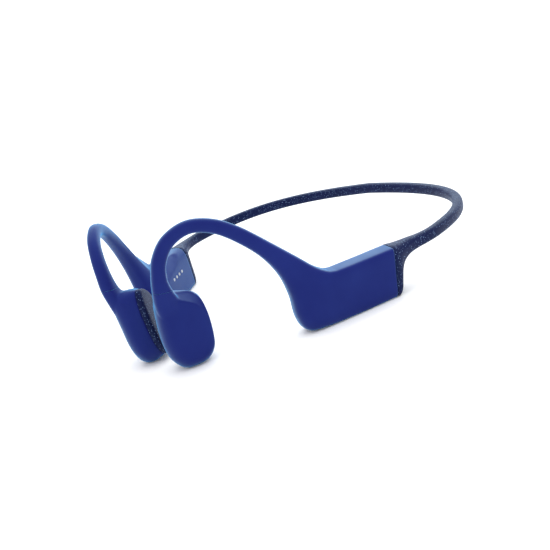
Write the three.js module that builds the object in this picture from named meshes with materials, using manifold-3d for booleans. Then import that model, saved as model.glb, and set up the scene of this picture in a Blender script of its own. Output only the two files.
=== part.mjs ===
// Bone conduction headphones: two housings joined by a springy neckband behind the head, each with a hook
// over the ear that ends in a vibrating pod on the cheekbone.
// Millimetres, +Z up. +X is the wearer's left, -Y is forward, and the pods and housings stand on z = 0.
import * as THREE from "three";
import { mergeVertices } from "three/addons/utils/BufferGeometryUtils.js";
import Module from "manifold-3d";

const wasm = await Module();
wasm.setup();

// Driving dimensions. An arm is drawn in its own frame: x is outward from its mid-plane, s is forward of
// the housing's rear face, and z is up from the ground.
const REAR_FACE = { x: 53.46, y: -3.97 }; // where the left arm's mid-plane meets its rear face
const ARM_TURN = THREE.MathUtils.degToRad(27.3); // the arms run in towards each other at the front
const LEAN = Math.tan(THREE.MathUtils.degToRad(3.3)); // and their tops lean outward
const MIDDLE = 0.5; // moves the middle of the whole length to the origin
const GROUND = 0.1; // height at which whatever the object stands on is cut flat
const FIT = 0.3; // gap between neighbouring pieces
const SKIN_WALL = 1.2;
const FRAME_WALL = 0.8;
const HOOK_SPLIT = 8; // section of the arm where the stiff root ends and the flexing hook begins
const BORE = { along: 1.4, across: 0.95, square: 3 }; // half sizes of the tunnel for wire and lead
const WIRE_RADIUS = 0.5;
const LEAD_RADIUS = 0.45;
const WIRE_OFFSET = 0.64;
const SLEEVE_HALF = { height: 2.0, thickness: 1.85 };
const POD = { centre: [66.2, 12.6], reach: [8.9, 12.6], outer: -8.9, seam: -19.0, wall: 1.6 };
const PAD_FACE = -21.3;
const BUTTON = { length: 3.3, width: 2.4, height: 0.8, pitch: 4.9, first: 5.2, face: 0.25 };
const STEM = 1.2; // side of a button's square stem
const CONTACT = { length: 2.0, height: 1.3, pitch: 2.9, first: 7.2, z: 9.4 };

// Sections of an arm, from the rear face of its housing to the seam above its pod. Each runs from a low
// point [s, z] to a high point; mid is its place across the arm, half is half its thickness, and square is
// how square its low and high ends are, 2 being round.
const ARM = [
  { low: [0, 0], high: [-2.7, 16.6], mid: 0, half: 5.35, square: [8, 3.6] },
  { low: [14, 0], high: [8.4, 16.8], mid: 0, half: 5.35, square: [8, 3.6] },
  { low: [26, 0.2], high: [15.6, 17], mid: 0, half: 5.3, square: [5.5, 3.5] },
  { low: [31.5, 1.2], high: [18, 17.2], mid: 0, half: 5.2, square: [3.6, 3.3] },
  { low: [33.5, 6], high: [20.2, 18], mid: 0, half: 5.0, square: [2.8, 3.1] },
  { low: [33.5, 14], high: [23.4, 20.6], mid: 0, half: 4.4, square: [2.6, 2.9] },
  { low: [34.9, 22], high: [28, 25.9], mid: -0.1, half: 3.6, square: [2.6, 2.6] },
  { low: [38.6, 29.8], high: [34.1, 32.8], mid: -0.9, half: 2.8, square: [2.5, 2.5] },
  { low: [44.3, 36.8], high: [41.4, 40.7], mid: -2.6, half: 2.3, square: [2.5, 2.5] },
  { low: [50, 41.6], high: [48.3, 45.8], mid: -4.3, half: 2.2, square: [2.5, 2.5] },
  { low: [56.1, 43.5], high: [56.2, 47.9], mid: -6.2, half: 2.1, square: [2.5, 2.5] },
  { low: [61.8, 41.4], high: [64, 45.4], mid: -8.0, half: 2.1, square: [2.5, 2.5] },
  { low: [65.3, 36.8], high: [69, 39.9], mid: -9.3, half: 2.2, square: [2.5, 2.5] },
  { low: [66.6, 31.8], high: [71.3, 33.9], mid: -9.9, half: 2.4, square: [2.5, 2.5] },
  { low: [66.2, 27.8], high: [72.5, 29], mid: -10.2, half: 2.6, square: [2.6, 2.6] },
  { low: [63.6, 24.2], high: [73, 24.4], mid: -11.2, half: 3.1, square: [2.8, 2.8] },
  { low: [61.2, 19], high: [73, 19], mid: -12.2, half: 3.4, square: [2.8, 2.8] },
];
const CAVITY_END = 5.2; // section where the housing's cavity ends
const POD_SEAM = 14;

// Sections of a neckband half's root, the same way, but with distances behind the rear face along the band.
const ROOT = [
  { low: [0.3, 0], high: [3.0, 16.6], mid: 0, half: 5.35, square: [8, 3.6] },
  { low: [1.2, 0.06], high: [4.0, 16.5], mid: 0, half: 5.35, square: [8, 3.6] },
  { low: [2.4, 0.9], high: [4.9, 16.3], mid: 0, half: 5.1, square: [6, 3.5] },
  { low: [3.2, 3.1], high: [5.9, 16.2], mid: 0, half: 4.7, square: [5, 3.4] },
  { low: [4.4, 6.6], high: [7.3, 16.1], mid: 0, half: 4.1, square: [4, 3.2] },
  { low: [6.3, 9.3], high: [9.2, 16], mid: 0, half: 3.4, square: [3.4, 3] },
  { low: [9.2, 10.8], high: [11.6, 15.9], mid: 0, half: 2.7, square: [3, 3] },
  { low: [13, 11.4], high: [14.4, 15.7], mid: 0, half: 2.1, square: [3, 3] },
  { low: [18.5, 11.5], high: [18.5, 15.5], mid: 0, half: 1.85, square: [3, 3] },
];

// The left half of the neckband, from the rear face round to the middle of the back.
const v3 = (x, y, z) => new THREE.Vector3(x, y, z);
const band = new THREE.CurvePath();
band.add(
  new THREE.CubicBezierCurve3(
    v3(REAR_FACE.x, REAR_FACE.y, 14),
    v3(57.0, 2.8, 13.7),
    v3(61.2, 9.9, 13.3),
    v3(61.2, 17.5, 13.2),
  ),
);
band.add(
  new THREE.CubicBezierCurve3(
    v3(61.2, 17.5, 13.2),
    v3(61.2, 48.6, 12.8),
    v3(42.1, 62.7, 13.0),
    v3(0, 62.7, 14.4),
  ),
);
const BAND_LENGTH = band.getLength();

// Materials.
const finish = (color, roughness, metalness) => ({ color, roughness, metalness });
const BLUE_SILICONE = finish(0x26357e, 0.42, 0);
const NAVY_SILICONE = finish(0x1f2350, 0.55, 0);
const DARK_PLASTIC = finish(0x22242a, 0.6, 0);
const TITANIUM = finish(0x8f8a84, 0.35, 1);
const STEEL = finish(0xa9acb2, 0.3, 1);
const NEODYMIUM = finish(0xc9cbd0, 0.22, 1);
const COPPER = finish(0xb5693a, 0.35, 1);
const PALE_METAL = finish(0xd5d8dc, 0.28, 1);
const LEAD_RUBBER = finish(0x18181c, 0.6, 0);
const BOARD_GREEN = finish(0x1d4a33, 0.5, 0);
const CHIP_BLACK = finish(0x141416, 0.45, 0);
const CELL_FOIL = finish(0xb9bcc2, 0.4, 0.9);

// Solids.
function solid(geometry) {
  const bare = geometry.clone();
  bare.deleteAttribute("normal");
  bare.deleteAttribute("uv");
  const merged = mergeVertices(bare, 1e-4);
  const made = new wasm.Mesh({
    numProp: 3,
    vertProperties: merged.attributes.position.array,
    triVerts: new Uint32Array(merged.index.array),
  });
  return new wasm.Manifold(made);
}

function piece(group, name, shape, look) {
  const made = shape.getMesh();
  const geometry = new THREE.BufferGeometry();
  geometry.setAttribute("position", new THREE.BufferAttribute(made.vertProperties, 3));
  geometry.setIndex(new THREE.BufferAttribute(made.triVerts, 1));
  geometry.computeVertexNormals();
  const mesh = new THREE.Mesh(geometry, new THREE.MeshStandardMaterial(look));
  mesh.name = name;
  group.add(mesh);
}

// A closed solid through a list of rings with the same number of points, its two ends closed by fans.
function loft(rings) {
  const sides = rings[0].length;
  const points = rings.flat();
  const faces = [];
  for (let r = 0; r + 1 < rings.length; r++) {
    for (let i = 0; i < sides; i++) {
      const a = r * sides + i;
      const b = r * sides + ((i + 1) % sides);
      faces.push(a, b, b + sides, a, b + sides, a + sides);
    }
  }
  for (const [ring, first, flip] of [
    [rings[0], 0, true],
    [rings.at(-1), (rings.length - 1) * sides, false],
  ]) {
    const hub = points.length;
    points.push(ring.reduce((sum, p) => sum.add(p), v3(0, 0, 0)).divideScalar(sides));
    for (let i = 0; i < sides; i++) {
      const a = first + i;
      const b = first + ((i + 1) % sides);
      faces.push(hub, flip ? b : a, flip ? a : b);
    }
  }
  let volume = 0;
  for (let i = 0; i < faces.length; i += 3) {
    const [a, b, c] = faces.slice(i, i + 3).map((f) => points[f]);
    volume += a.dot(b.clone().cross(c));
  }
  if (volume < 0) {
    faces.reverse();
  }
  const geometry = new THREE.BufferGeometry().setFromPoints(points);
  geometry.setIndex(faces);
  return solid(geometry);
}

const power = (value, exponent) => Math.sign(value) * Math.abs(value) ** exponent;

// A table of sections as smooth curves, read at any fractional section number.
function smooth(table) {
  const curve = (of) => new THREE.CatmullRomCurve3(table.map(of), false, "catmullrom", 0.5);
  const low = curve((row) => v3(...row.low, row.mid));
  const high = curve((row) => v3(...row.high, row.half));
  const square = curve((row) => v3(...row.square, 0));
  const last = table.length - 1;
  return (k) => ({ low: read(low, k / last), high: read(high, k / last), square: read(square, k / last) });
}

// A point of a curve, carried straight on past its ends.
function read(curve, t) {
  const end = Math.min(Math.max(t, 0), 1);
  const point = curve.getPoint(end);
  if (t === end) {
    return point;
  }
  const back = curve.getPoint(end - Math.sign(t - end) * 0.01);
  return point.clone().add(point.clone().sub(back).multiplyScalar(Math.abs(t - end) / 0.01));
}
const armSection = smooth(ARM);
const rootSection = smooth(ROOT);

const armPoint = (x, s, z) => v3(x + LEAN * z, -s, z);

// A point in the space around the neckband: distance d behind the rear face, x outward of it, z up.
function bandPoint(x, d, z) {
  const at = Math.min(Math.max(d / BAND_LENGTH, 0), 1);
  const on = band.getPoint(at);
  const run = band.getTangent(at).setZ(0).normalize();
  const lean = LEAN * z * (1 - THREE.MathUtils.smoothstep(d, 0, 12));
  return v3(on.x + run.y * (x + lean), on.y - run.x * (x + lean), z);
}

// One ring of a section: inset from its edge, or a small one of its own size inside it.
function ring(section, point, sides, inset = 0, own = null) {
  const mid = section.low.clone().add(section.high).multiplyScalar(0.5);
  const rise = section.high.clone().sub(section.low).setZ(0).multiplyScalar(0.5);
  const length = rise.length();
  const half = own ? own.across : section.high.z - inset;
  const along = own ? own.along : length - inset;
  const shift = own ? own.shift ?? 0 : 0;
  const points = [];
  for (let i = 0; i < sides; i++) {
    const angle = ((i + 0.5) * 2 * Math.PI) / sides;
    const square = own ? own.square : Math.sin(angle) < 0 ? section.square.x : section.square.y;
    const x = section.low.z + half * power(Math.cos(angle), 2 / square);
    const t = (along * power(Math.sin(angle), 2 / square) + shift) / length;
    points.push(point(x, mid.x + rise.x * t, mid.y + rise.y * t));
  }
  return points;
}

// Numbers from one end to the other in even steps.
const steps = (from, to, count) =>
  Array.from({ length: count + 1 }, (_, i) => from + ((to - from) * i) / count);

const armLoft = (from, to, count, sides, inset = 0, own = null) =>
  loft(steps(from, to, count).map((k) => ring(armSection(k), armPoint, sides, inset, own)));

// Rings of a neckband half from its root to the middle of the back.
function bandLoft(from, sides) {
  const rings = steps(from, ROOT.length - 1, 12).map((k) =>
    ring(rootSection(k), bandPoint, sides),
  );
  const start = ROOT.at(-1).low[0];
  for (const d of steps(start, BAND_LENGTH - FIT / 2, 16).slice(1)) {
    const at = band.getPoint(Math.min(d / BAND_LENGTH, 1));
    const half = SLEEVE_HALF;
    const z = THREE.MathUtils.lerp(ROOT.at(-1).low[1] + half.height, at.z, Math.min((d - start) / 20, 1));
    const section = {
      low: v3(d, z - half.height, 0),
      high: v3(d, z + half.height, half.thickness),
      square: v3(...ROOT.at(-1).square, 0),
    };
    rings.push(ring(section, bandPoint, sides));
  }
  return loft(rings);
}

// A box, rounded bar or cylinder at x, s, z in an arm's frame.
function box(length, width, height, x, s, z) {
  return solid(new THREE.BoxGeometry(width, length, height).translate(x, -s, z));
}

function bar(length, height, depth, radius, x, s, z) {
  const a = length / 2 - radius;
  const b = height / 2 - radius;
  const outline = new THREE.Shape();
  outline.absarc(a, b, radius, 0, Math.PI / 2);
  outline.absarc(-a, b, radius, Math.PI / 2, Math.PI);
  outline.absarc(-a, -b, radius, Math.PI, 1.5 * Math.PI);
  outline.absarc(a, -b, radius, 1.5 * Math.PI, 2 * Math.PI);
  const geometry = new THREE.ExtrudeGeometry(outline, { depth, bevelEnabled: false, curveSegments: 4 });
  geometry.translate(0, 0, -depth / 2).rotateX(Math.PI / 2).rotateZ(Math.PI / 2);
  return solid(geometry.translate(x, -s, z));
}

function disc(radius, from, to, sides = 28) {
  const geometry = new THREE.CylinderGeometry(radius, radius, Math.abs(to - from), sides);
  geometry.rotateZ(Math.PI / 2).translate((from + to) / 2, -POD.centre[0], POD.centre[1]);
  return solid(geometry);
}

const union = (parts) => parts.reduce((all, next) => all.add(next));

// The tunnel for wire and lead, and the two threads that lie in it.
const TUNNEL = { ...BORE, shift: 0 };
const WIRE = { along: WIRE_RADIUS, across: WIRE_RADIUS, square: 2, shift: WIRE_OFFSET };
const LEAD = { along: LEAD_RADIUS, across: LEAD_RADIUS, square: 2, shift: -WIRE_OFFSET };

// The outline of a pod seen from the side, smoothed through points [s, z] and shrunk about its centre.
const POD_OUTLINE = [
  [66.3, 0],
  [70.5, 0.5],
  [73.5, 4.2],
  [74.5, 9],
  [74.4, 14.5],
  [73.7, 20.5],
  [72.7, 25],
  [70.2, 26.8],
  [66.5, 26.2],
  [63.3, 25.2],
  [60.5, 24],
  [58.4, 21.5],
  [57.8, 17.5],
  [57.8, 13.5],
  [58.3, 8.2],
  [59.3, 4],
  [62, 0.8],
];
const podCurve = new THREE.CatmullRomCurve3(
  POD_OUTLINE.map(([s, z]) => v3(s, z, 0)),
  true,
  "catmullrom",
  0.5,
);

function podRing(x, inset, sides) {
  const [cs, cz] = POD.centre;
  const [scaleS, scaleZ] = POD.reach.map((reach) => 1 - inset / reach);
  return steps(0, 1, sides)
    .slice(0, -1)
    .map((t) => podCurve.getPoint(t))
    .map((p) => armPoint(x, cs + (p.x - cs) * scaleS, cz + (p.y - cz) * scaleZ));
}

const podLoft = (levels, sides = 30) => loft(levels.map(([x, inset]) => podRing(x, inset, sides)));

// What lies under the surface that the object stands on.
const ground = solid(new THREE.BoxGeometry(400, 400, 4).translate(0, 0, GROUND - 2));

// The blue skin of a housing, hollow from the rear, with the stiff root of its hook.
function housingSkin() {
  const cavity = armLoft(-0.3, CAVITY_END, 9, 18, SKIN_WALL);
  const tunnel = armLoft(CAVITY_END - 1, HOOK_SPLIT + 0.2, 6, 10, 0, neckSize(FIT));
  const outside = armLoft(0, HOOK_SPLIT - 0.03, 16, 18).subtract(ground);
  return outside.subtract(cavity).subtract(tunnel);
}

// The plastic frame inside it: an open-ended box and a neck that holds the hook's wire.
const neckSize = (extra) => ({ along: 1.3 + extra, across: 1.1 + extra, square: 2.4, shift: 0 });

function housingFrame() {
  const outside = armLoft(0.2, CAVITY_END - 0.12, 9, 18, SKIN_WALL + FIT);
  const neck = armLoft(CAVITY_END - 0.6, HOOK_SPLIT - 0.03, 6, 10, 0, neckSize(0));
  const room = armLoft(-0.3, CAVITY_END - 1.0, 8, 18, SKIN_WALL + FIT + FRAME_WALL);
  return outside.add(neck).subtract(room);
}

// The blue skin of the hook, from the split to the seam above the pod, with its tunnel.
function hookSkin() {
  const skin = armLoft(HOOK_SPLIT + 0.03, POD_SEAM - 0.03, 18, 14);
  return skin.subtract(armLoft(HOOK_SPLIT - 0.3, POD_SEAM + 0.3, 18, 8, 0, TUNNEL));
}

// The blue shell of the pod with its leg, open on the side that faces the head.
function podShell() {
  const pebble = podLoft([
    [POD.outer, 4.2],
    [POD.outer - 0.35, 2.2],
    [POD.outer - 1.1, 0.9],
    [POD.outer - 2.3, 0.2],
    [POD.outer - 4, 0],
    [POD.seam, 0.8],
  ]);
  const room = podLoft([
    [POD.outer - 2.1, POD.wall + 1.2],
    [POD.outer - 3.2, POD.wall],
    [POD.seam - 1, POD.wall],
  ]);
  const leg = armLoft(POD_SEAM + 0.03, ARM.length - 1, 6, 14);
  const tunnel = armLoft(POD_SEAM - 0.3, ARM.length - 1, 6, 8, 0, TUNNEL);
  return pebble.add(leg).subtract(room).subtract(tunnel).subtract(ground);
}

// The navy contact pad over the open side, flat where it meets the cheekbone.
function podPad() {
  return podLoft([
    [POD.seam - FIT, 0.8],
    [POD.seam - FIT - 1.1, 1.0],
    [PAD_FACE + 0.35, 1.8],
    [PAD_FACE, 3.2],
  ]);
}

// The vibrating transducer: the coil is fixed behind the pad, and the magnet in its steel cup hangs on a
// thin spring plate.
function transducer(group, name) {
  const deep = POD.outer - 3.1;
  const cup = disc(5.6, deep, deep - 3.5).subtract(disc(4.9, deep - 0.9, deep - 4));
  piece(group, `${name}_transducer_cup`, cup, STEEL);
  piece(group, `${name}_transducer_magnet`, disc(3.1, deep - 0.9 - FIT, deep - 3.4), NEODYMIUM);
  const coil = disc(4.5, deep - 2.2, deep - 5.2).subtract(disc(3.5, deep - 2, deep - 5.4));
  piece(group, `${name}_voice_coil`, coil, COPPER);
  const plate = disc(6.1, deep - 5.5, deep - 5.9);
  const slots = [0, 1, 2].map((i) => {
    const slot = new THREE.BoxGeometry(2, 1.2, 3.4).translate(0, 0, 4);
    slot.rotateX((i * 2 * Math.PI) / 3).translate(deep - 5.7, -POD.centre[0], POD.centre[1]);
    return solid(slot);
  });
  piece(group, `${name}_spring_plate`, plate.subtract(union(slots)), STEEL);
}

// Buttons along the underside of the right housing, each with its stem through the frame.
const buttonPlaces = ["volume_up", "volume_down", "mode", "track"].map((name, i) => ({
  name,
  s: BUTTON.first + i * BUTTON.pitch,
}));

function buttonCuts(shape, through) {
  const holes = buttonPlaces.map(({ s }) =>
    through
      ? box(STEM + 2 * FIT, STEM + 2 * FIT, 3, 0, s, 2)
      : box(BUTTON.length + 2 * FIT, BUTTON.width + 2 * FIT, 4, 0, s, 0.5),
  );
  return shape.subtract(union(holes));
}

function buttonCap(s) {
  const middle = BUTTON.face + BUTTON.height / 2;
  const cap = bar(BUTTON.length, BUTTON.height, BUTTON.width, 0.4, 0, s, middle);
  return cap.add(box(STEM, STEM, 2.2, 0, s, 1.6));
}

// Charging contacts in a row on the inner side of the right housing.
const contactPlaces = steps(0, 3, 3).map((i) => CONTACT.first + i * CONTACT.pitch);

function contactRow(shape, length, height) {
  const cut = (s) => box(length, 3, height, -4.2 + LEAN * CONTACT.z, s, CONTACT.z);
  return shape.subtract(union(contactPlaces.map(cut)));
}

function contactPin(s) {
  const lean = LEAN * CONTACT.z;
  const head = bar(CONTACT.length, CONTACT.height, 1.0, 0.6, -4.9 + lean, s, CONTACT.z);
  return head.add(box(0.8, 2.2, 0.8, -3.6 + lean, s, CONTACT.z));
}

// One arm with everything in it, in the arm's frame.
function arm(name) {
  const group = new THREE.Group();
  group.position.set(REAR_FACE.x, REAR_FACE.y, 0);
  group.rotation.z = -ARM_TURN;
  const right = name === "right";
  let skin = housingSkin();
  let frame = housingFrame();
  if (right) {
    skin = contactRow(buttonCuts(skin, false), CONTACT.length + 0.5, CONTACT.height + 0.5);
    frame = contactRow(buttonCuts(frame, true), 1.4, 1.4);
  }
  piece(group, `${name}_housing_skin`, skin, BLUE_SILICONE);
  piece(group, `${name}_housing_frame`, frame, DARK_PLASTIC);
  piece(group, `${name}_hook_skin`, hookSkin(), BLUE_SILICONE);
  piece(group, `${name}_hook_wire`, armLoft(HOOK_SPLIT + 0.05, 14.5, 18, 6, 0, WIRE), TITANIUM);
  piece(group, `${name}_hook_lead`, armLoft(HOOK_SPLIT + 0.05, 15.3, 20, 6, 0, LEAD), LEAD_RUBBER);
  piece(group, `${name}_pod_shell`, podShell(), BLUE_SILICONE);
  piece(group, `${name}_pod_pad`, podPad(), NAVY_SILICONE);

  const core = new THREE.Group();
  core.rotation.y = Math.atan(LEAN);
  group.add(core);
  transducer(core, name);
  const plug = box(3, 4.8, 8, 0, 2.8, 9).subtract(box(5, 2.2, 2.4, 0, 2.8, 12.4));
  piece(core, `${name}_rear_plug`, plug, DARK_PLASTIC);
  if (right) {
    piece(core, "main_board", box(20, 1, 8.2, 1.2, 15.5, 9.2), BOARD_GREEN);
    piece(core, "memory_chip", box(7, 0.9, 6, 2.35, 11.5, 9.4), CHIP_BLACK);
    piece(core, "processor_chip", box(5, 0.9, 5, 2.35, 20.5, 9.4), CHIP_BLACK);
    const strip = box(20, 2.6, 0.5, 0, 12.6, 3.9);
    const domes = buttonPlaces.map(({ s }) => box(1.8, 1.8, 0.5, 0, s, 3.45));
    piece(group, "button_strip", strip.add(union(domes)), BOARD_GREEN);
    buttonPlaces.forEach(({ name: use, s }) => piece(group, `${use}_button`, buttonCap(s), BLUE_SILICONE));
    contactPlaces.forEach((s, i) => piece(group, `charging_contact_${i + 1}`, contactPin(s), PALE_METAL));
  } else {
    piece(core, "battery", bar(19, 10, 4.6, 1.2, 0, 14.6, 8.6), CELL_FOIL);
    piece(core, "battery_board", box(1, 4.4, 8, 0, 25.2, 8.8), BOARD_GREEN);
  }
  return group;
}

// One half of the neckband: the sleeve with the cap over its housing's rear face, the wire and the lead.
function neckband(name) {
  const group = new THREE.Group();
  const inside = { ...TUNNEL, along: 1.5 };
  const sleeve = bandLoft(0, 14).subtract(bandTunnel(inside)).subtract(ground);
  piece(group, `${name}_neckband_sleeve`, sleeve, NAVY_SILICONE);
  piece(group, `${name}_neckband_wire`, bandThread(WIRE), TITANIUM);
  piece(group, `${name}_neckband_lead`, bandThread(LEAD), LEAD_RUBBER);
  return group;
}

// A small section carried along the middle of the neckband.
function bandThread(own, from = 2, to = BAND_LENGTH - FIT / 2, sides = 6) {
  const half = SLEEVE_HALF.height;
  const rings = steps(from, to, 26).map((d) => {
    const z = threadHeight(d);
    const section = { low: v3(d, z - half, 0), high: v3(d, z + half, 0), square: v3(2, 2, 0) };
    return ring(section, bandPoint, sides, 0, own);
  });
  return loft(rings);
}

const bandTunnel = (own) => bandThread(own, -1, BAND_LENGTH + 1, 8);

// Height of the middle of the neckband's section at a distance behind the rear face.
function threadHeight(d) {
  const at = band.getPoint(Math.min(Math.max(d / BAND_LENGTH, 0), 1)).z;
  const start = ROOT.at(-1).low[0];
  const early = 13.5;
  return THREE.MathUtils.lerp(early, at, Math.min(Math.max((d - start) / 20, 0), 1));
}

const headphones = new THREE.Group();
headphones.position.set(0, MIDDLE, -GROUND);
for (const name of ["left", "right"]) {
  const side = new THREE.Group();
  side.add(arm(name), neckband(name));
  side.scale.x = name === "left" ? 1 : -1;
  headphones.add(side);
}

export default headphones;
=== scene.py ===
"""Bone conduction headphones: the looks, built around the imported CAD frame.

The tables are in millimetres and follow the CAD source's, except for finer shapes of the pod's edges, leg and
pad, the first section of the neckband's root, and smaller charging contacts. Meshes are made from them at a
finer step and scaled to metres. An arm is drawn in its own space: x is outward from its mid-plane, s is
forward of its housing's rear face, and z is up from the floor.
"""

import math

import bmesh
import bpy
import numpy as np
from mathutils import Matrix, Vector


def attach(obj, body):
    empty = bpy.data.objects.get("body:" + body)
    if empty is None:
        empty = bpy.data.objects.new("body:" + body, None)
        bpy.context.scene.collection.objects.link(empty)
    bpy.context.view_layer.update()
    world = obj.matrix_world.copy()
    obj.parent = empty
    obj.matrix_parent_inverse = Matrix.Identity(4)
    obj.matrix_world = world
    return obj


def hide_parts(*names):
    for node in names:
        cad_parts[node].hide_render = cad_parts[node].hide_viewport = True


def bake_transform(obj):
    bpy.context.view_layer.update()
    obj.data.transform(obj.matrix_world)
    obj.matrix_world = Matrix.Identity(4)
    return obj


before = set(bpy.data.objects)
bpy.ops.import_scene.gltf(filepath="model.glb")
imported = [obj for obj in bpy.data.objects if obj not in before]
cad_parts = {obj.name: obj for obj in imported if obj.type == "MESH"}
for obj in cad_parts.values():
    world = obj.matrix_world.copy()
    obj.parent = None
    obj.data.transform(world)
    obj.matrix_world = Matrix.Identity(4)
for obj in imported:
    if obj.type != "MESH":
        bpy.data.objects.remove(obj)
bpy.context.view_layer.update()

MM = 0.001
REAR_FACE = (53.46, -3.97)  # where the left arm's mid-plane meets its rear face
ARM_TURN = math.radians(27.3)
LEAN = math.tan(math.radians(3.3))
MIDDLE = 0.5
GROUND = 0.1  # the part stands this much below its own zero, where its underside is cut flat
SKIN_WALL = 1.2
BEVEL_DEPTH = 3.0  # how far in the chamfer along the inner top of a housing goes
LEAN_RUN = 12  # how far along the neckband an arm's lean takes to fade out
SIDES = 72  # points round a section
QUARTER_STEPS = 200  # fine points a quarter of a section is measured with
TURN_WEIGHT = 1.3  # how much more closely points lie where a section bends
SHARP_ANGLE = math.radians(38)  # edges that turn more than this aren't smoothed

# Sections of an arm: low s, low z, high s, high z, mid, half thickness, and the squareness of the low and the
# high end. Places between them are given as fractional section numbers.
ARM = [
    (0, 0, -2.7, 16.6, 0, 5.35, 8, 3.6),
    (14, 0, 8.4, 16.8, 0, 5.35, 8, 3.6),
    (26, 0.2, 15.6, 17, 0, 5.3, 5.5, 3.5),
    (31.5, 1.2, 18, 17.2, 0, 5.2, 3.6, 3.3),
    (33.5, 6, 20.2, 18, 0, 5.0, 2.8, 3.1),
    (33.5, 14, 23.4, 20.6, 0, 4.4, 2.6, 2.9),
    (34.9, 22, 28, 25.9, -0.1, 3.6, 2.6, 2.6),
    (38.6, 29.8, 34.1, 32.8, -0.9, 2.8, 2.5, 2.5),
    (44.3, 36.8, 41.4, 40.7, -2.6, 2.3, 2.5, 2.5),
    (50, 41.6, 48.3, 45.8, -4.3, 2.2, 2.5, 2.5),
    (56.1, 43.5, 56.2, 47.9, -6.2, 2.1, 2.5, 2.5),
    (61.8, 41.4, 64, 45.4, -8.0, 2.1, 2.5, 2.5),
    (65.3, 36.8, 69, 39.9, -9.3, 2.2, 2.5, 2.5),
    (66.6, 31.8, 71.3, 33.9, -9.9, 2.4, 2.5, 2.5),
    (66.2, 27.8, 72.5, 29, -10.2, 2.6, 2.6, 2.6),
    (65.2, 24.2, 73.1, 24.4, -11.2, 2.9, 3, 2.7),
    (64.4, 19, 72.9, 19, -12.2, 3.3, 3, 2.7),
    (64.4, 12, 71.8, 12, -12.8, 3.2, 3, 2.9),
    (65, 6, 69.6, 6, -13.2, 3.0, 3, 3),
]

# By section number: what is added to the squareness of the outer top edge, and the height of the chamfer
# along the inner top edge.
CRISP = ((0, 3, 5, 8), (6, 6, 2, 0))
BEVEL = ((0, 1, 2, 3, 5, 7, 9), (0.6, 4, 6.5, 7.5, 5.5, 2, 0))
CAVITY_END = 5.2
HOOK_SPLIT = 8
HOOK_THREAD_START = 8.05
HOOK_WIRE_END = 14.5
HOOK_LEAD_END = 15.3
POD_SEAM = 14

# Sections of the neckband's root, with distances behind the rear face along the band in place of s.
ROOT = [
    (0.1, 0, 2.8, 16.6, 0, 5.35, 8, 3.6),
    (1.2, 0.06, 4.0, 16.5, 0, 5.35, 8, 3.6),
    (2.4, 0.9, 4.9, 16.3, 0, 5.1, 6, 3.5),
    (3.2, 3.1, 5.9, 16.2, 0, 4.7, 5, 3.4),
    (4.4, 6.6, 7.3, 16.1, 0, 4.1, 4, 3.2),
    (6.3, 9.3, 9.2, 16, 0, 3.4, 3.4, 3),
    (9.2, 10.8, 11.6, 15.9, 0, 2.7, 3, 3),
    (13, 11.4, 14.4, 15.7, 0, 2.1, 3, 3),
    (18.5, 11.5, 18.5, 15.5, 0, 1.85, 3, 3),
]
BAND = [  # cubic Bezier stretches of the left half, from the rear face to the middle of the back
    [(53.46, -3.97, 14), (57.0, 2.8, 13.7), (61.2, 9.9, 13.3), (61.2, 17.5, 13.2)],
    [(61.2, 17.5, 13.2), (61.2, 48.6, 12.8), (42.1, 62.7, 13.0), (0, 62.7, 14.4)],
]
SLEEVE_HALF = (2.0, 1.85)
BAND_START = 18.5
ROOT_HEIGHT = 13.5  # height of the sleeve's middle at the end of its root
HEIGHT_RUN = 20  # how far behind there it takes to reach the height of the band's curve

# The pod seen from the side where it is widest: s, z, the radius of its outer edge, the width and slope of
# the bevel inside that edge, how far the edge leans in, and how far the pad's side is drawn in.
POD_OUTLINE = [
    (66.3, 0, 3.6, 0, 0, 0, 2),
    (70.5, 0.5, 4.4, 0, 0, 0, 2),
    (73.5, 4.2, 5, 0, 0, 0, 2.2),
    (74.5, 9, 5, 0, 0, 0, 2.1),
    (74.4, 14.5, 5, 0, 0, 0, 1.8),
    (73.7, 20.5, 4.2, 0, 0, 0, 1.4),
    (72.7, 25, 2.8, 0, 0, 0, 1.5),
    (70.2, 26.8, 1, 0.4, 1.5, 0.2, 0.5),
    (66.5, 26.2, 0.3, 1.4, 2.2, 0.1, 0.6),
    (63.3, 25.2, 0.3, 1.8, 2.2, 0.1, 1.5),
    (60.5, 24, 0.3, 2.2, 1.9, 0.1, 2.5),
    (58.4, 21.5, 0.3, 1.8, 1.1, 0.2, 3),
    (57.8, 17.5, 0.3, 1.3, 0.36, 0.3, 3),
    (57.8, 13.5, 0.3, 1.1, 0.3, 0.3, 3),
    (58.3, 8.2, 0.4, 0.9, 0.28, 0.3, 3),
    (59.3, 4, 1.6, 0.5, 0.26, 0.2, 2.6),
    (62, 0.8, 3, 0, 0, 0.1, 2.2),
]
POD_CENTRE = (66.2, 12.6)
POD_REACH = (8.9, 12.6)
POD_OUTER = -8.9
POD_WIDEST = -14.0
POD_FLOOR = -19.0
PAD_FACE = -21.3
FACE_RISE = 0.12  # how far the middle of the pod's outer face stands above its edge
POD_ROOM = [(POD_OUTER - 2.1, 4.0), (POD_OUTER - 3.2, 2.8), (POD_FLOOR - 1, 3.4)]  # its hollow: x and inset
POD_VOXEL = 0.28
JUNCTION = (-11.5, 66.0, 26.5)  # where the leg runs into the pod, as x, s, z
JUNCTION_REACH = 5.5
JUNCTION_FADE = 3
PAD_FRONT = 71.5  # where the pad is at its full height
PAD_TILT = 0.17  # how fast it gets thinner behind there
PAD_THINNEST = 0.15  # as a share of its full height

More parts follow.
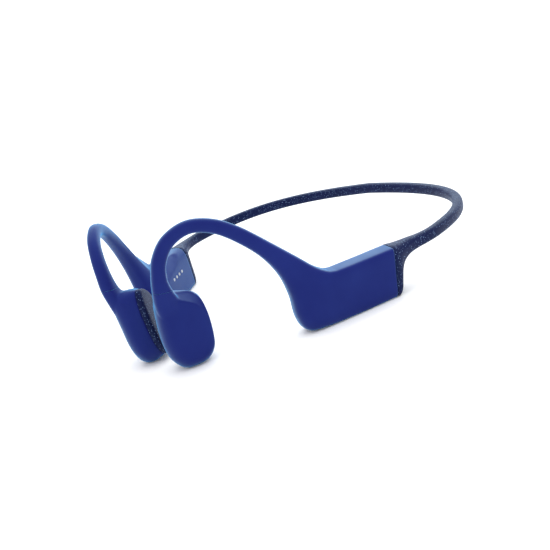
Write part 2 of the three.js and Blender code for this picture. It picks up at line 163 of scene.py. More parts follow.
BORE = (1.4, 0.95, 3)  # half sizes and squareness of the tunnel for wire and lead
NECK = (1.6, 1.4, 2.4)  # the same, where the frame holds the hook's wire
BAND_BORE = (1.5, 0.95, 3)
WIRE = (0.5, 0.5, 2)
LEAD = (0.45, 0.45, 2)
THREAD_OFFSET = 0.64
THREAD_START = 2  # how far behind the rear face the neckband's wire and lead begin

BUTTONS = {"volume_up": 5.2, "volume_down": 10.1, "mode": 15.0, "track": 19.9}
CONTACTS = [7.2, 10.1, 13.0, 15.9]
CONTACT_X = -4.9
CONTACT_Z = 9.4
BUTTON_Z = 0.65
BUTTON_CUT_Z = 0.4

# Length, height, depth, corner radius and edge radius of a contact and a button, and of the cut for each.
CONTACT_BAR = (1.45, 1.15, 1.0, 0.5, 0.14)
CONTACT_CUT = (1.6, 1.3, 3, 0.56, 0.05)
BUTTON_BAR = (3.3, 2.4, 0.8, 0.7, 0.25)
BUTTON_CUT = (3.8, 2.9, 4, 0.95, 0.05)
STEM = ((0.9, 0.75), (1.1, 0.62), (1.3, 0.6), (2.6, 0.6), (2.7, 0.5))  # heights and half widths


# ---------------------------------------------------------------- curves and rings

def spline(rows, t, closed=False):
    """Points of a Catmull-Rom curve through the rows, read at fractional row numbers."""
    rows = np.asarray(rows, float)
    t = np.asarray(t, float)
    count = len(rows)
    last = count - 1 if closed else count - 2
    i = np.clip(np.floor(t).astype(int), 0, last)
    w = (t - i)[..., None]
    if closed:
        a, b, c, d = (rows[(i + k) % count] for k in (-1, 0, 1, 2))
    else:
        rows = np.vstack([2 * rows[0] - rows[1], rows, 2 * rows[-1] - rows[-2]])
        a, b, c, d = (rows[i + k] for k in (0, 1, 2, 3))
    leave, arrive = (c - a) / 2, (d - b) / 2
    return b + leave * w + (3 * (c - b) - 2 * leave - arrive) * w**2 + (2 * (b - c) + leave + arrive) * w**3


def quarter(width, height, square, count):
    """A quarter of a superellipse from its side to its end, with its points closer where it bends."""
    angle = np.linspace(0, math.pi / 2, QUARTER_STEPS)
    radius = (np.cos(angle) ** square + np.sin(angle) ** square) ** (-1 / square)
    curve = np.stack([width * radius * np.cos(angle), height * radius * np.sin(angle)], 1)
    step = np.diff(curve, axis=0)
    length = np.hypot(*step.T)
    turn = np.abs(np.gradient(np.unwrap(np.arctan2(step[:, 1], step[:, 0]))))
    share = np.concatenate([[0], np.cumsum(length / length.sum() + TURN_WEIGHT * turn / turn.sum())])
    at = np.interp(np.arange(count) / count, share / share[-1], np.arange(len(share)))
    return np.stack([np.interp(at, np.arange(len(curve)), curve[:, k]) for k in (0, 1)], 1)


def ring(row, sides=SIDES, inset=0.0, size=None, shift=0.0, crisp=0.0, bevel=0.0):
    """One ring of a section as x, s, z. size is the half sizes and squareness of a small one inside it.

    crisp is added to the squareness of the outer top edge. bevel is the height of the inner top chamfer.
    """
    low, high = np.array(row[0:2]), np.array(row[2:4])
    middle, rise = (low + high) / 2, (high - low) / 2
    length = np.hypot(*rise)
    along, across = (length - inset, row[5] - inset) if size is None else size[:2]
    squares = (row[7] + crisp, row[6], row[7]) if size is None else (size[2],) * 3
    up, down, back_up = (quarter(across, along, max(q, 2), sides // 4) for q in squares)
    if bevel > 0:
        top = np.clip((back_up[:, 1] - (along - bevel)) / bevel, 0, 1)
        back_up[:, 0] = np.minimum(back_up[:, 0], across - BEVEL_DEPTH * min(1, bevel / 3) * top)
    tip_up, tip_down = (0, along), (0, -along)
    turned = [
        up,
        [tip_up], back_up[:0:-1] * (-1, 1),
        down * (-1, -1),
        [tip_down], down[:0:-1] * (1, -1),
    ]
    flat = np.concatenate([np.asarray(t, float).reshape(-1, 2) for t in turned])
    t = (flat[:, 1] + shift) / length
    return np.stack([row[4] + flat[:, 0], middle[0] + rise[0] * t, middle[1] + rise[1] * t], 1)


def arm_world(points, side=1):
    """Points x, s, z of an arm in the frame's own axes; side is 1 on the left and -1 on the right."""
    x, s, z = np.asarray(points, float).T
    x = x + LEAN * z
    turn, rise = math.cos(ARM_TURN), math.sin(ARM_TURN)
    across = REAR_FACE[0] + turn * x - rise * s
    along = REAR_FACE[1] - rise * x - turn * s + MIDDLE
    return np.stack([side * across, along, z - GROUND], 1)


def grounded(points):
    """Points with whatever is under the surface the object stands on cut flat."""
    return np.maximum(points, (-np.inf, -np.inf, 0))


def bezier_path(stretches, count=400):
    """A chain of cubic Beziers as dense points and the distance to each."""
    t = np.linspace(0, 1, count)[:, None]
    parts = []
    for a, b, c, d in np.asarray(stretches, float):
        parts.append((1 - t) ** 3 * a + 3 * (1 - t) ** 2 * t * b + 3 * (1 - t) * t**2 * c + t**3 * d)
    path = np.concatenate([parts[0]] + [p[1:] for p in parts[1:]])
    reach = np.concatenate([[0], np.cumsum(np.linalg.norm(np.diff(path, axis=0), axis=1))])
    return path, reach


BAND_PATH, BAND_REACH = bezier_path(BAND)
BAND_LENGTH = BAND_REACH[-1]


def band_at(d):
    return np.stack([np.interp(d, BAND_REACH, BAND_PATH[:, k]) for k in range(3)], -1)


def band_world(points, side=1):
    """Points x, d, z around the neckband in the frame's own axes, where d is the distance along it."""
    x, d, z = np.asarray(points, float).T
    step = 0.2
    on = band_at(np.clip(d, 0, BAND_LENGTH))
    ahead = band_at(np.clip(d + step, 2 * step, BAND_LENGTH))
    run = ahead - band_at(np.clip(d - step, 0, BAND_LENGTH - 2 * step))
    run[:, 2] = 0
    run /= np.linalg.norm(run, axis=1)[:, None]
    t = np.clip(d / LEAN_RUN, 0, 1)
    x = x + LEAN * z * (1 - t * t * (3 - 2 * t))
    across = on[:, 0] + run[:, 1] * x
    along = on[:, 1] - run[:, 0] * x + MIDDLE
    return np.stack([side * across, along, z - GROUND], 1)


def thread_height(d):
    """Height of the middle of the neckband's section."""
    t = np.clip((d - BAND_START) / HEIGHT_RUN, 0, 1)
    return ROOT_HEIGHT + (band_at(np.clip(d, 0, BAND_LENGTH))[..., 2] - ROOT_HEIGHT) * t


# ---------------------------------------------------------------- meshes

def loft(rings, loop=False):
    """Points and faces of a skin through rings; its ends are closed unless it loops."""
    sides, count = len(rings[0]), len(rings)
    faces = []
    for r in range(count if loop else count - 1):
        a, b = r * sides, (r + 1) % count * sides
        faces += [(a + i, a + (i + 1) % sides, b + (i + 1) % sides, b + i) for i in range(sides)]
    if not loop:
        faces.append(tuple(range(sides))[::-1])
        faces.append(tuple(range((count - 1) * sides, count * sides)))
    return np.concatenate(rings), faces


def make(name, shape, material):
    """A mesh object from points in millimetres and faces, facing out, smooth except across sharp edges."""
    points, faces = shape
    mesh = bpy.data.meshes.new(name)
    mesh.from_pydata((np.asarray(points) * MM).tolist(), [], faces)
    piece = bpy.data.objects.new(name, mesh)
    bpy.context.scene.collection.objects.link(piece)
    volume = 0
    co = np.asarray(points)
    for face in faces:
        a = co[face[0]]
        for i in range(1, len(face) - 1):
            volume += a @ np.cross(co[face[i]], co[face[i + 1]])
    if volume < 0:
        mesh.flip_normals()
    finish(piece, material)
    return piece


def finish(piece, material):
    """Gives a piece its material, and smooths it except across sharp edges."""
    mesh = piece.data
    mesh.materials.clear()
    mesh.materials.append(material)
    mesh.polygons.foreach_set("use_smooth", [True] * len(mesh.polygons))
    mesh.set_sharp_from_angle(angle=SHARP_ANGLE)
    mesh.update()


def apply_modifiers(piece):
    """Turns what a piece's modifiers make into its own mesh."""
    graph = bpy.context.evaluated_depsgraph_get()
    graph.update()
    mesh = bpy.data.meshes.new_from_object(piece.evaluated_get(graph))
    piece.modifiers.clear()
    piece.data = mesh


def cut(piece, tools):
    """Cuts closed tool pieces out of a piece and removes them."""
    for tool in tools:
        cutter = piece.modifiers.new("cut", "BOOLEAN")
        cutter.operation = "DIFFERENCE"
        cutter.solver = "EXACT"
        cutter.object = tool
    apply_modifiers(piece)
    for tool in tools:
        bpy.data.objects.remove(tool)


# ---------------------------------------------------------------- materials

def nodes_of(name):
    material = bpy.data.materials.new(name)
    material.use_nodes = True
    tree = material.node_tree
    shader = tree.nodes["Principled BSDF"]
    place = tree.nodes.new("ShaderNodeTexCoord").outputs["Object"]
    return material, tree, shader, place


def noise(tree, place, size, detail=2.0):
    """Noise whose features are about size millimetres across."""
    node = tree.nodes.new("ShaderNodeTexNoise")
    node.inputs["Scale"].default_value = 1 / (size * MM)
    node.inputs["Detail"].default_value = detail
    tree.links.new(place, node.inputs["Vector"])
    return node.outputs["Fac"]


def spread(tree, value, low, high, out_low, out_high):
    """A value's stretch from low to high carried to a new range."""
    node = tree.nodes.new("ShaderNodeMapRange")
    for key, number in zip(("From Min", "From Max", "To Min", "To Max"), (low, high, out_low, out_high)):
        node.inputs[key].default_value = number
    tree.links.new(value, node.inputs["Value"])
    return node.outputs["Result"]


def mix(tree, share, first, second):
    """Two colours mixed by a share; each may be a colour or a socket."""
    node = tree.nodes.new("ShaderNodeMix")
    node.data_type = "RGBA"
    tree.links.new(share, node.inputs["Factor"])
    for key, colour in (("A", first), ("B", second)):
        socket = next(s for s in node.inputs if s.name == key and s.type == "RGBA")
        if isinstance(colour, tuple):
            socket.default_value = (*colour, 1)
        else:
            tree.links.new(colour, socket)
    return next(s for s in node.outputs if s.type == "RGBA")


def bump(tree, shader, heights):
    """Stacks height fields, each given as a value and its depth in millimetres."""
    normal = None
    for value, depth in heights:
        node = tree.nodes.new("ShaderNodeBump")
        node.inputs["Distance"].default_value = depth * MM
        node.inputs["Strength"].default_value = 1
        tree.links.new(value, node.inputs["Height"])
        if normal:
            tree.links.new(normal, node.inputs["Normal"])
        normal = node.outputs["Normal"]
    tree.links.new(normal, shader.inputs["Normal"])


def silicone(name, deep, pale, tint, rough, grain, sheen, specks=None):
    """Satin silicone: a slow drift of tone, a fine grain, smudges in its gloss, and moulded-in specks."""
    material, tree, shader, place = nodes_of(name)
    colour = mix(tree, spread(tree, noise(tree, place, 14, 3), 0.35, 0.65, 0, 1), deep, pale)
    if specks:
        cells = tree.nodes.new("ShaderNodeTexVoronoi")
        cells.inputs["Scale"].default_value = 1 / (specks["spacing"] * MM)
        tree.links.new(place, cells.inputs["Vector"])
        near = spread(tree, cells.outputs["Distance"], 0.12, 0.26, 1, 0)
        pick = tree.nodes.new("ShaderNodeSeparateColor")
        tree.links.new(cells.outputs["Color"], pick.inputs["Color"])
        chosen = spread(tree, pick.outputs["Red"], 0.25, 0.8, 0, 1)
        both = tree.nodes.new("ShaderNodeMath")
        both.operation = "MULTIPLY"
        tree.links.new(near, both.inputs[0])
        tree.links.new(chosen, both.inputs[1])
        colour = mix(tree, both.outputs[0], colour, specks["colour"])
    tree.links.new(colour, shader.inputs["Base Color"])
    low, high = rough
    tree.links.new(spread(tree, noise(tree, place, 5, 4), 0.3, 0.7, low, high), shader.inputs["Roughness"])
    bump(tree, shader, [(noise(tree, place, 0.5, 2), grain), (noise(tree, place, 0.16, 1), grain / 2)])
    shader.inputs["Specular Tint"].default_value = (*tint, 1)
    shader.inputs["Specular IOR Level"].default_value = 0.2
    shader.inputs["Sheen Weight"].default_value = sheen[0]
    shader.inputs["Sheen Roughness"].default_value = sheen[1]
    shader.inputs["Sheen Tint"].default_value = (*tint, 1)
    return material


def plastic(name, colour, other, rough=0.55):
    """Moulded plastic with a fine spark-eroded grain."""
    material, tree, shader, place = nodes_of(name)
    tree.links.new(mix(tree, noise(tree, place, 2, 3), colour, other), shader.inputs["Base Color"])
    gloss = spread(tree, noise(tree, place, 1, 3), 0.3, 0.7, rough - 0.06, rough + 0.08)
    tree.links.new(gloss, shader.inputs["Roughness"])
    bump(tree, shader, [(noise(tree, place, 0.25, 2), 0.006)])
    return material


def metal(name, colour, other, rough, streak=(1, 1, 1)):
    """Metal with drawn or turned streaks along one axis."""
    material, tree, shader, place = nodes_of(name)
    stretch = tree.nodes.new("ShaderNodeMapping")
    stretch.inputs["Scale"].default_value = streak
    tree.links.new(place, stretch.inputs["Vector"])
    lines = noise(tree, stretch.outputs["Vector"], 0.5, 4)
    tree.links.new(mix(tree, lines, colour, other), shader.inputs["Base Color"])
    tree.links.new(spread(tree, lines, 0.3, 0.7, rough - 0.07, rough + 0.09), shader.inputs["Roughness"])
    bump(tree, shader, [(lines, 0.004)])
    shader.inputs["Metallic"].default_value = 1
    return material


def board(name):
    """A circuit board: green mask, copper tracks under it and pale solder points."""
    material, tree, shader, place = nodes_of(name)
    tracks = tree.nodes.new("ShaderNodeTexBrick")
    tracks.inputs["Scale"].default_value = 1 / (2.4 * MM)
    tracks.inputs["Mortar Size"].default_value = 0.04
    for key, value in (("Color1", 0.0), ("Color2", 0.25), ("Mortar", 1.0)):
        tracks.inputs[key].default_value = (value, value, value, 1)
    tree.links.new(place, tracks.inputs["Vector"])
    level = tree.nodes.new("ShaderNodeSeparateColor")
    tree.links.new(tracks.outputs["Color"], level.inputs["Color"])
    ground = mix(tree, noise(tree, place, 3, 3), (0.012, 0.07, 0.035), (0.02, 0.1, 0.05))
    traced = mix(tree, level.outputs["Red"], ground, (0.05, 0.2, 0.08))
    dots = tree.nodes.new("ShaderNodeTexVoronoi")
    dots.inputs["Scale"].default_value = 1 / (1.7 * MM)
    tree.links.new(place, dots.inputs["Vector"])
    solder = spread(tree, dots.outputs["Distance"], 0.12, 0.2, 1, 0)
    tree.links.new(mix(tree, solder, traced, (0.6, 0.6, 0.58)), shader.inputs["Base Color"])
    tree.links.new(spread(tree, solder, 0, 1, 0.45, 0.25), shader.inputs["Roughness"])
    bump(tree, shader, [(solder, 0.08)])
    return material


BLUE = silicone(
    "blue_silicone",
    deep=(0.010, 0.010, 0.115),
    pale=(0.012, 0.014, 0.130),
    tint=(0.15, 0.55, 1.0),
    rough=(0.36, 0.44),
    grain=0.004,
    sheen=(0.9, 0.36),
)
NAVY = silicone(
    "navy_silicone",
    deep=(0.004, 0.004, 0.032),
    pale=(0.006, 0.006, 0.042),
    tint=(0.22, 0.55, 1.0),
    rough=(0.44, 0.54),
    grain=0.012,
    sheen=(0.1, 0.35),
    specks={"spacing": 0.44, "colour": (0.3, 0.46, 0.76)},
)
DARK_PLASTIC = plastic("dark_plastic", (0.012, 0.012, 0.016), (0.02, 0.02, 0.025))
TITANIUM = metal("titanium", (0.36, 0.33, 0.3), (0.3, 0.28, 0.26), 0.34, (1, 0.1, 1))
STEEL = metal("steel", (0.45, 0.46, 0.48), (0.38, 0.39, 0.41), 0.3)
MAGNET = metal("magnet", (0.62, 0.62, 0.64), (0.55, 0.55, 0.57), 0.2)
COPPER = metal("copper", (0.5, 0.2, 0.07), (0.38, 0.13, 0.04), 0.35, (1, 1, 6))
CONTACT_METAL = metal("contact_metal", (0.42, 0.45, 0.5), (0.34, 0.37, 0.42), 0.4)
LEAD_RUBBER = plastic("lead_rubber", (0.008, 0.008, 0.01), (0.014, 0.014, 0.017), 0.6)
CIRCUIT = board("circuit_board")
CHIP = plastic("chip", (0.006, 0.006, 0.007), (0.012, 0.012, 0.013), 0.42)
CELL_FOIL = metal("cell_foil", (0.55, 0.56, 0.58), (0.47, 0.48, 0.5), 0.38)

CARRIED = {
    "housing_frame": DARK_PLASTIC,
    "rear_plug": DARK_PLASTIC,
    "transducer_cup": STEEL,
    "transducer_magnet": MAGNET,
    "voice_coil": COPPER,
    "spring_plate": STEEL,
    "battery": CELL_FOIL,
    "battery_board": CIRCUIT,
    "main_board": CIRCUIT,
    "button_strip": CIRCUIT,
    "memory_chip": CHIP,
    "processor_chip": CHIP,
}


# ---------------------------------------------------------------- the pieces

def arm_rows(numbers):
    return spline(ARM, numbers)


def arm_skin(name, side):
    """The blue skin from the housing's rear face, over the ear and down to the pod, hollow inside."""
    rear_lip = [(0.0, 0.26), (0.006, 0.1), (0.02, 0.0)]
    seam_lip = [(-0.02, 0.0), (-0.006, 0.03), (0.0, 0.08)]
    outside = list(rear_lip)
    outside += [(k, 0.0) for k in np.linspace(0.06, POD_SEAM - 0.08, 168)]
    outside += [(POD_SEAM - 0.01 + k, i) for k, i in seam_lip]
    at, insets = np.array(outside).T
    crisp = np.interp(at, *CRISP)
    bevel = np.interp(at, *BEVEL)
    rows = arm_rows(at)
    rings = [ring(row, inset=i, crisp=c, bevel=b) for row, i, c, b in zip(rows, insets, crisp, bevel)]
    rings += [ring(row, size=BORE) for row in arm_rows(np.linspace(POD_SEAM - 0.01, HOOK_SPLIT + 0.1, 60))]
    rings += [ring(row, size=NECK) for row in arm_rows(np.linspace(HOOK_SPLIT - 0.1, CAVITY_END, 24))]
    rings += [ring(row, inset=SKIN_WALL) for row in arm_rows(np.linspace(CAVITY_END, 0, 40))]
    points, faces = loft(rings, loop=True)
    return make(name, (grounded(arm_world(points, side)), faces), BLUE)


def arm_thread(name, side, size, shift, last, material):
    """A wire or lead inside the hook, up to the section number last."""
    rows = arm_rows(np.linspace(HOOK_THREAD_START, last, 70))
    points, faces = loft([ring(row, 16, size=size, shift=shift) for row in rows])
    return make(name, (arm_world(points, side), faces), material)


def pod_outline(count=136):
    return spline(POD_OUTLINE, np.arange(count) * len(POD_OUTLINE) / count, closed=True)


def pod_ring(x, inset, outline):
    """One ring round the pod at a depth x, drawn in by inset; both may differ from point to point."""
    cs, cz = POD_CENTRE
    s = cs + (outline[:, 0] - cs) * (1 - inset / POD_REACH[0])
    z = cz + (outline[:, 1] - cz) * (1 - inset / POD_REACH[1])
    return np.stack([np.broadcast_to(x, s.shape), s, z], 1)


def pebble():
    """The pod's body: slanted sides and a nearly flat outer face, its edge crisp on top and full below."""
    outline = pod_outline()
    edge, bevel, slope, lean, tuck = outline[:, 2:].T
    face = edge + bevel + lean
    corner = POD_OUTER - bevel * slope
    rings = []
    for f in (0.95, 0.75):
        rings.append(pod_ring(POD_OUTER + FACE_RISE, np.full(len(outline), POD_REACH[0] * f), outline))
    for f in (0.5, 0.25, 0.1, 0):
        rings.append(pod_ring(POD_OUTER + FACE_RISE * f, face * (1 - f) + POD_REACH[0] * 0.6 * f, outline))
    for f in (0.33, 0.67, 1):
        rings.append(pod_ring(POD_OUTER * (1 - f) + corner * f, face - bevel * f, outline))
    for turn in np.linspace(0, math.pi / 2, 10)[1:]:
        x = corner - edge * (1 - math.cos(turn))
        rings.append(pod_ring(x, lean + edge * (1 - math.sin(turn)), outline))
    for f in np.linspace(0, 1, 9)[1:]:
        rings.append(pod_ring((corner - edge) * (1 - f) + POD_WIDEST * f, lean * (1 - f), outline))
    for f in np.linspace(0, 1, 9)[1:]:
        x = np.full(len(outline), POD_WIDEST * (1 - f) + POD_FLOOR * f)
        rings.append(pod_ring(x, tuck * f**1.5, outline))
    return loft(rings)


def pod_shell(name, side):
    """The blue pod with its leg, run together with a soft fillet, hollow for the transducer."""
    body, body_faces = pebble()
    rows = arm_rows(np.linspace(POD_SEAM - 0.12, len(ARM) - 1, 40))
    leg, leg_faces = loft([ring(row) for row in rows])
    faces = body_faces + [tuple(i + len(body) for i in f) for f in leg_faces]
    piece = make(name, (grounded(arm_world(np.concatenate([body, leg]), side)), faces), BLUE)
    remesh = piece.modifiers.new("join", "REMESH")
    remesh.mode = "VOXEL"
    remesh.voxel_size = POD_VOXEL * MM
    apply_modifiers(piece)
    soften(piece, side)
    trim(piece, side)
    outline = pod_outline(60)
    hollow, hollow_faces = loft([pod_ring(x, np.full(len(outline), i), outline) for x, i in POD_ROOM])
    rows = arm_rows(np.linspace(POD_SEAM - 0.3, len(ARM) - 1, 12))
    tunnel, tunnel_faces = loft([ring(row, 24, size=BORE) for row in rows])
    tools = [
        make(name + "_room", (arm_world(hollow, side), hollow_faces), BLUE),
        make(name + "_tunnel", (arm_world(tunnel, side), tunnel_faces), BLUE),
    ]
    cut(piece, tools)
    finish(piece, BLUE)
    return piece


def trim(piece, side):
    """Cuts the top of the pod's leg off flat at the seam under the hook."""
    row = arm_rows(POD_SEAM + 0.008)
    corners = arm_world([(0, row[0], row[1]), (0, row[2], row[3]), (-12, row[0], row[1])], side) * MM
    normal = Vector(np.cross(corners[1] - corners[0], corners[2] - corners[0])).normalized()
    normal = normal if normal.z > 0 else -normal
    shape = bmesh.new()
    shape.from_mesh(piece.data)
    everything = shape.verts[:] + shape.edges[:] + shape.faces[:]
    made = bmesh.ops.bisect_plane(
        shape, geom=everything, plane_co=corners[0], plane_no=normal, clear_outer=True
    )
    rim = [e for e in made["geom_cut"] if isinstance(e, bmesh.types.BMEdge)]
    bmesh.ops.holes_fill(shape, edges=rim)
    shape.to_mesh(piece.data)
    shape.free()


def soften(piece, side):
    """Smooths the whole pod a little, and where the leg runs into it a lot."""
    group = piece.vertex_groups.new(name="junction")
    centre = Vector(arm_world([JUNCTION], side)[0] * MM)
    for vertex in piece.data.vertices:
        far = (vertex.co - centre).length / MM
        if far < JUNCTION_REACH:
            group.add([vertex.index], min(1, (JUNCTION_REACH - far) / JUNCTION_FADE), "REPLACE")
    for steps, chosen in ((4, ""), (20, "junction")):
        smooth = piece.modifiers.new("smooth", "SMOOTH")
        smooth.factor = 0.5
        smooth.iterations = steps
        smooth.vertex_group = chosen
    apply_modifiers(piece)


def pod_pad(name, side):
    """The speckled contact pad: a wedge, thickest at the front, with a straight rim and a rounded edge."""
    outline = pod_outline()
    tuck = outline[:, 6]
    levels = [(0.06, 4), (0.06, 2), (0.06, 0.3), (0.16, 0.06), (0.5, 0.0), (0.9, 0.02), (1.3, 0.08)]
    height, start, run = POD_FLOOR - PAD_FACE, 1.3, 1.1
    for turn in np.linspace(0, math.pi / 2, 8)[1:]:
        levels.append((start + (height - start) * math.sin(turn), 0.08 + run * (1 - math.cos(turn))))
    levels += [(height + 0.04, 2.0), (height + 0.07, 3), (height + 0.09, 4), (height + 0.1, 5)]
    rings = []
    for depth, inset in levels:
        flat = pod_ring(np.full(len(tuck), POD_FLOOR - depth), inset + tuck, outline)
        wedge = np.clip(1 - (PAD_FRONT - flat[:, 1]) * PAD_TILT / height, PAD_THINNEST, 1)
        flat[:, 0] = POD_FLOOR - depth * wedge
        rings.append(flat)
    points, faces = loft(rings)
    return make(name, (arm_world(points, side), faces), NAVY)


def band_rows(number):
    """Sections along one half of the neckband: its root, then even ones to the middle of the back."""
    rows = list(spline(ROOT, np.linspace(0, len(ROOT) - 1, 56)))
    for d in np.linspace(BAND_START, BAND_LENGTH, number)[1:]:
        z = float(thread_height(np.array(d)))
        rows.append(np.array([d, z - SLEEVE_HALF[0], d, z + SLEEVE_HALF[0], 0, SLEEVE_HALF[1], 3, 3]))
    return rows


def both_halves(rings):
    """Rings of the left half followed by the right half's, back to its root, in the frame's own axes."""
    left = [band_world(r) for r in rings]
    return left + [r * (-1, 1, 1) for r in left[-2::-1]]


def neckband_sleeve(name):
    rows = band_rows(90)
    rings = [ring(rows[0], inset=0.26), ring(rows[0] + [0.07, 0, 0.07, 0, 0, 0, 0, 0], inset=0.08)]
    rings += [ring(rows[0] + [0.24, 0, 0.24, 0, 0, 0, 0, 0])] + [ring(row) for row in rows[1:]]
    depths = np.concatenate([[0.9], np.linspace(THREAD_START, BAND_LENGTH, 90)])
    tunnel = [thread_ring(d, BAND_BORE, 0, SIDES) for d in depths]
    points, faces = loft(both_halves(rings) + both_halves(tunnel)[::-1], loop=True)
    return make(name, (grounded(points), faces), NAVY)


def thread_ring(d, size, shift, sides=16):
    z = float(thread_height(np.array(d)))
    return ring((d, z - 2, d, z + 2, 0, 2, 2, 2), sides, size=size, shift=shift)


def band_thread(name, size, shift, material):
    rings = [thread_ring(d, size, shift) for d in np.linspace(THREAD_START, BAND_LENGTH, 90)]
    points, faces = loft(both_halves(rings))
    return make(name, (points, faces), material)


def rounded_bar(length, height, depth, radius, edge, place):
    """A bar with round corners: length along s, height along z, depth along x, a little domed on one side."""
    count = 12
    outline = []
    for cs, cz, start in ((1, 1, 0), (-1, 1, 1), (-1, -1, 2), (1, -1, 3)):
        for i in range(count):
            angle = (start + i / (count - 1)) * math.pi / 2
            outline.append((
                cs * (length / 2 - radius) + radius * math.cos(angle),
                cz * (height / 2 - radius) + radius * math.sin(angle),
            ))
    outline = np.array(outline)
    rings = []
    levels = [(depth / 2, 0.0)]
    for t in np.linspace(0, 1.57, 6):
        levels.append((-depth / 2 + edge * (1 - math.sin(t)), edge * (1 - math.cos(t))))
    levels += [(-depth / 2 - 0.04, edge + 0.15), (-depth / 2 - 0.05, min(length, height) / 2 * 0.85)]
    for x, inset in levels:
        scale = 1 - 2 * inset / np.array([length, height])
        at = outline * scale
        rings.append(np.stack([np.full(len(at), x), at[:, 0], at[:, 1]], 1) + place)
    return loft(rings)


def unsheared(points, side):
    """Points of an arm's own space that aren't leaned with it."""
    points = np.array(points, float)
    points[:, 0] -= LEAN * points[:, 2]
    return arm_world(points, side)


def contact(name, s):
    points, faces = rounded_bar(*CONTACT_BAR, (CONTACT_X + LEAN * CONTACT_Z, s, CONTACT_Z))
    return make(name, (unsheared(points, -1), faces), CONTACT_METAL)


def laid_flat(bar, s, z):
    """A rounded bar turned to face down, at a distance s and a height z."""
    points, faces = rounded_bar(*bar, (0, 0, 0))
    return np.stack([points[:, 2], points[:, 1] + s, points[:, 0] + z], 1), faces


def button(name, s):
    """A button's cap with its stem, pressed from below."""
    points, faces = laid_flat(BUTTON_BAR, s, BUTTON_Z)
    stem = []
    for z, half in STEM:
        stem.append(ring((s - 0.5, z, s + 0.5, z, 0, 1, 4, 4), 32, size=(half, half, 4)))
    stem_points, stem_faces = loft(stem)
    faces = faces + [tuple(i + len(points) for i in f) for f in stem_faces]
    return make(name, (unsheared(np.concatenate([points, stem_points]), -1), faces), BLUE)


def windows():
    """What is cut out of the right housing's skin for its contacts and buttons."""
    tools = []
    for i, s in enumerate(CONTACTS):
        points, faces = rounded_bar(*CONTACT_CUT, (CONTACT_X + LEAN * CONTACT_Z, s, CONTACT_Z))
        tools.append(make(f"contact_window_{i}", (unsheared(points, -1), faces), BLUE))
    for i, s in enumerate(BUTTONS.values()):
        points, faces = laid_flat(BUTTON_CUT, s, BUTTON_CUT_Z)
        tools.append(make(f"button_window_{i}", (unsheared(points, -1), faces), BLUE))
    return tools


for name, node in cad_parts.items():
    kind = name.split("_", 1)[1] if name.startswith(("left_", "right_")) else name
    if kind in CARRIED:
        node.data.materials.clear()
        node.data.materials.append(CARRIED[kind])

for label, side in (("left", 1), ("right", -1)):
    skin = arm_skin(f"{label}_arm_skin", side)
    if side < 0:
        cut(skin, windows())
        finish(skin, BLUE)
    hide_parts(f"{label}_housing_skin", f"{label}_hook_skin")
    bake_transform(skin)

    for use, size, shift, last, material, slot in (
        ("wire", WIRE, THREAD_OFFSET, HOOK_WIRE_END, TITANIUM, "titanium"),
        ("lead", LEAD, -THREAD_OFFSET, HOOK_LEAD_END, LEAD_RUBBER, "lead_rubber"),
    ):
        thread = arm_thread(f"{label}_hook_{use}_round", side, size, shift, last, material)
        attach(thread, f"{label}_hook")
        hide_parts(f"{label}_hook_{use}")

    pod = pod_shell(f"{label}_pod_body", side)
    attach(pod, f"{label}_hook")
    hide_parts(f"{label}_pod_shell")
    pad = pod_pad(f"{label}_contact_pad", side)
    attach(pad, f"{label}_hook")
    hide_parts(f"{label}_pod_pad")

for i, s in enumerate(CONTACTS, 1):
    pin = contact(f"contact_{i}", s)
    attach(pin, "right_side")
    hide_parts(f"charging_contact_{i}")

for use, s in BUTTONS.items():
    cap = button(f"{use}_cap", s)
    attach(cap, use)
    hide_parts(f"{use}_button")

band_pieces = [
    (neckband_sleeve("neckband_sleeve"), "sleeve", "navy_silicone"),
    (band_thread("neckband_wire", WIRE, THREAD_OFFSET, TITANIUM), "wire", "titanium"),
    (band_thread("neckband_lead", LEAD, -THREAD_OFFSET, LEAD_RUBBER), "lead", "lead_rubber"),
]
for piece, use, slot in band_pieces:
    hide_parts(f"left_neckband_{use}", f"right_neckband_{use}")
    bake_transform(piece)


# ---------------------------------------------------------------- floor, light and camera

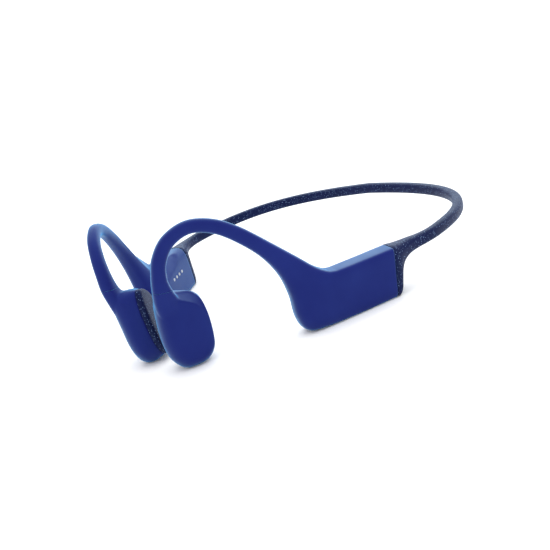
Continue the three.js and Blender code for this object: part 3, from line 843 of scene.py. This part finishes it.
def floor():
    """A pale floor just under the object, wide enough to reach past the picture."""
    mesh = bpy.data.meshes.new("floor")
    reach, level = 60.0, -0.00005
    corners = [(x * reach, y * reach, level) for x, y in ((-1, -1), (1, -1), (1, 1), (-1, 1))]
    mesh.from_pydata(corners, [], [(0, 1, 2, 3)])
    made = bpy.data.objects.new("floor", mesh)
    bpy.context.scene.collection.objects.link(made)
    material, tree, shader, place = nodes_of("floor")
    tone = mix(tree, noise(tree, place, 40, 2), (0.93, 0.93, 0.93), (0.95, 0.95, 0.95))
    tree.links.new(tone, shader.inputs["Base Color"])
    shader.inputs["Roughness"].default_value = 0.9
    shader.inputs["Specular IOR Level"].default_value = 0.1
    mesh.materials.append(material)


def area(name, place, target, size, power, colour=(1, 1, 1)):
    light = bpy.data.lights.new(name, "AREA")
    light.shape = "RECTANGLE"
    light.size, light.size_y = size
    light.energy = power
    light.color = colour
    made = bpy.data.objects.new(name, light)
    made.location = place
    made.rotation_euler = (Vector(target) - Vector(place)).to_track_quat("-Z", "Y").to_euler()
    bpy.context.scene.collection.objects.link(made)


floor()
world = bpy.data.worlds.new("studio")
bpy.context.scene.world = world
world.use_nodes = True
world.node_tree.nodes["Background"].inputs["Color"].default_value = (1, 1, 1, 1)
world.node_tree.nodes["Background"].inputs["Strength"].default_value = 1.22
area("overhead", place=(0.0, 0.15, 0.7), target=(0, 0, 0), size=(0.9, 0.9), power=3.0)
area(
    "behind",
    place=(-0.35, 0.85, 0.4),
    target=(0, 0, 0.02),
    size=(1.3, 0.5),
    power=3.5,
    colour=(0.65, 0.85, 1.0),
)

camera = bpy.data.cameras.new("camera")
camera.lens = 57.70
camera.sensor_width = 36
viewer = bpy.data.objects.new("camera", camera)
right = (0.70785, 0.64021, -0.29847)
up = (-0.01121, 0.43267, 0.90148)
back = (0.70628, -0.63477, 0.31344)
place = (0.231534, -0.209846, 0.108114)
viewer.matrix_world = Matrix([(*row, at) for row, at in zip(zip(right, up, back), place)] + [(0, 0, 0, 1)])
bpy.context.scene.collection.objects.link(viewer)
bpy.context.scene.camera = viewer
bpy.context.scene.view_settings.view_transform = "Standard"
